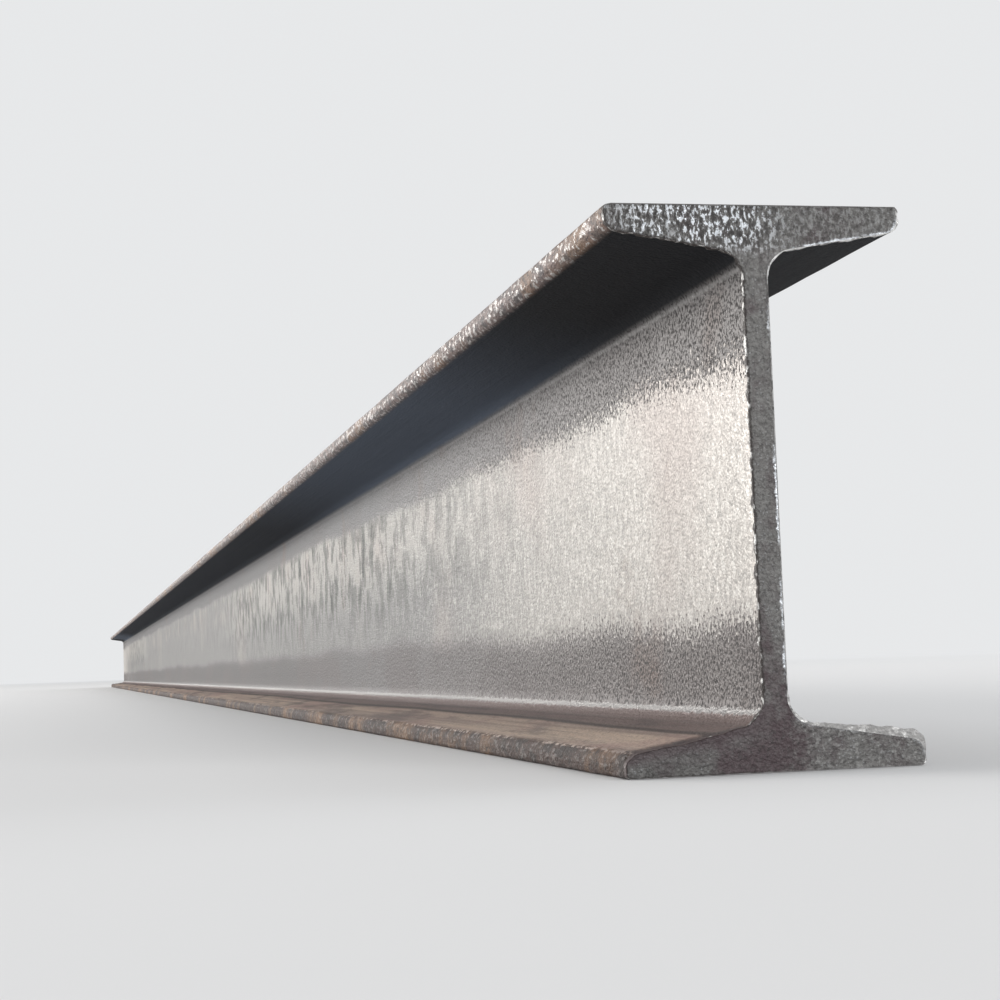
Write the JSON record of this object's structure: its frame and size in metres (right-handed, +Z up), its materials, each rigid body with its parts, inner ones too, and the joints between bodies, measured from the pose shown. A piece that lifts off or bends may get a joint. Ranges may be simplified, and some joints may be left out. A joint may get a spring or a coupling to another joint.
{
  "type": "tapered-flange steel h-beam",
  "caption": "Hot-rolled steel beam of H-shaped section with tapered flanges, a stock length with square-cut ends, to carry or brace a structure.",
  "frame": {"origin": "centre of the lower flange's underside, half way along the beam", "axes": "+Y along the length, +Z up along the web, +X across the flanges"},
  "size_m": [0.088, 6, 0.16],
  "materials": {
    "mill_scale_steel": "hot-rolled mill scale, satin blue-grey to brown, with light rust along the toes and bare torn metal on the cut ends"
  },
  "bodies": {
    "root": {"h_beam": "mill_scale_steel"}
  },
  "joints": []
}
